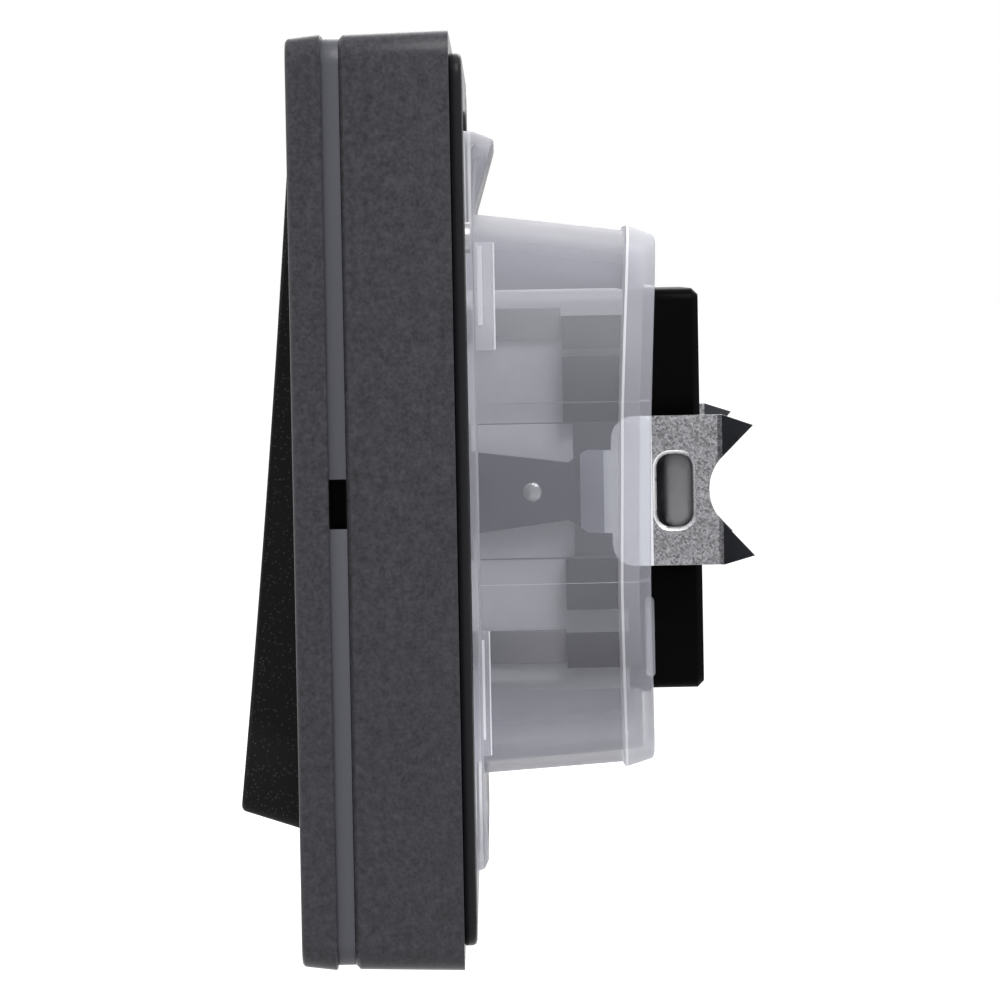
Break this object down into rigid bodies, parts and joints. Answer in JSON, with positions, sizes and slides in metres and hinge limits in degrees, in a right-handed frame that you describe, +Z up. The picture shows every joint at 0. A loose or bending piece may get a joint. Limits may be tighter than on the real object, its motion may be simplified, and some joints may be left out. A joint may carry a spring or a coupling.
{
  "type": "weatherproof rocker light switch",
  "caption": "Square weatherproof one-gang rocker switch: two-part frame with seals, tilting rocker, and a flush insert with translucent sealing collar and spreading claws.",
  "frame": {"origin": "centre of the wall plane, which is the rear face of the wall gasket", "axes": "+Z up, the rocker faces -Y, +Y goes into the wall, +X to the right as seen from the front"},
  "size_m": [0.087, 0.0491, 0.087],
  "materials": {
    "anthracite": "fine grained, silk matt",
    "rocker_plastic": "fine grained, silk matt",
    "seal_grey": "smooth elastomer",
    "gasket_black": "smooth elastomer",
    "membrane": "matt elastomer",
    "collar": "milky translucent elastomer",
    "housing_black": "satin moulded",
    "housing_grey": "satin moulded",
    "steel": "stamped, zinc plated",
    "galvanised": "spangled galvanised sheet",
    "screw_steel": "zinc plated",
    "brass": "stamped",
    "spring_steel": "bright",
    "silver_plate": "plated copper",
    "lever_plastic": "moulded",
    "toggle_plastic": "moulded"
  },
  "bodies": {
    "housing": {"wall_gasket": "gasket_black", "back_frame": "anthracite", "frame_seal": "seal_grey", "front_frame": "anthracite", "frame_screws": "screw_steel", "rocker_membrane": "membrane", "insert_cover": "housing_grey", "switch_base": "housing_grey", "rear_cover": "housing_black", "support_ring": "steel", "sealing_collar": "collar", "common_terminal": "brass", "fixed_contact_upper": "brass", "fixed_contact_lower": "brass", "clamp_spring_upper": "spring_steel", "clamp_spring_common": "spring_steel", "clamp_spring_lower": "spring_steel"},
    "rocker": {"rocker": "rocker_plastic", "toggle": "toggle_plastic", "toggle_spring": "spring_steel"},
    "plunger": {"toggle_plunger": "toggle_plastic"},
    "contact_bridge": {"contact_rocker": "silver_plate"},
    "lever_upper": {"release_lever_upper": "lever_plastic"},
    "lever_common": {"release_lever_common": "lever_plastic"},
    "lever_lower": {"release_lever_lower": "lever_plastic"},
    "claw_left": {"claw_left": "galvanised"},
    "wedge_left": {"claw_wedge_left": "steel"},
    "screw_left": {"claw_screw_left": "screw_steel"},
    "claw_right": {"claw_right": "galvanised"},
    "wedge_right": {"claw_wedge_right": "steel"},
    "screw_right": {"claw_screw_right": "screw_steel"}
  },
  "joints": [
    {"name": "rocker_tilt", "type": "hinge", "parent": "housing", "child": "rocker", "pos_m": [0, -0.009, 0], "axis": [1, 0, 0], "range_deg": [0, 10.4]},
    {"name": "plunger_press", "type": "slide", "parent": "rocker", "child": "plunger", "axis": [0, -0.9959, 0.0906], "range_m": [0, 0.0008], "stiffness_N_per_m": 1500, "springref_m": -0.001, "deforming": ["toggle_spring"]},
    {"name": "contact_tilt", "type": "hinge", "parent": "housing", "child": "contact_bridge", "pos_m": [0, 0.0029, 0], "axis": [1, 0, 0], "range_deg": [-16, 0]},
    {"name": "release_upper", "type": "slide", "parent": "housing", "child": "lever_upper", "axis": [0, -1, 0], "range_m": [0, 0.0015], "stiffness_N_per_m": 1200, "springref_m": -0.0008, "deforming": ["clamp_spring_upper"]},
    {"name": "release_common", "type": "slide", "parent": "housing", "child": "lever_common", "axis": [0, -1, 0], "range_m": [0, 0.0015], "stiffness_N_per_m": 1200, "springref_m": -0.0008, "deforming": ["clamp_spring_common"]},
    {"name": "release_lower", "type": "slide", "parent": "housing", "child": "lever_lower", "axis": [0, -1, 0], "range_m": [0, 0.0015], "stiffness_N_per_m": 1200, "springref_m": -0.0008, "deforming": ["clamp_spring_lower"]},
    {"name": "claw_screw_left_turn", "type": "hinge", "parent": "housing", "child": "screw_left", "pos_m": [-0.0173, 0, 0], "axis": [0, 1, 0], "range_deg": [0, 5040]},
    {"name": "claw_wedge_left_slide", "type": "slide", "parent": "housing", "child": "wedge_left", "axis": [0, -1, 0], "range_m": [0, 0.007]},
    {"name": "claw_left_swing", "type": "hinge", "parent": "housing", "child": "claw_left", "pos_m": [-0.0206, -0.0005, 0], "axis": [0, 0, 1], "range_deg": [0, 8], "deforming": ["sealing_collar"]},
    {"name": "claw_screw_right_turn", "type": "hinge", "parent": "housing", "child": "screw_right", "pos_m": [0.0173, 0, 0], "axis": [0, 1, 0], "range_deg": [0, 5040]},
    {"name": "claw_wedge_right_slide", "type": "slide", "parent": "housing", "child": "wedge_right", "axis": [0, -1, 0], "range_m": [0, 0.007]},
    {"name": "claw_right_swing", "type": "hinge", "parent": "housing", "child": "claw_right", "pos_m": [0.0206, -0.0005, 0], "axis": [0, 0, -1], "range_deg": [0, 8], "deforming": ["sealing_collar"]}
  ],
  "couplings": [
    {"joint": "contact_tilt", "follows": "rocker_tilt", "ratio": -1.5384},
    {"joint": "claw_screw_left_turn", "follows": "claw_wedge_left_slide", "rad_per_m": 12566},
    {"joint": "claw_left_swing", "follows": "claw_wedge_left_slide", "rad_per_m": 19.947},
    {"joint": "claw_screw_right_turn", "follows": "claw_wedge_right_slide", "rad_per_m": 12566},
    {"joint": "claw_right_swing", "follows": "claw_wedge_right_slide", "rad_per_m": 19.947}
  ]
}
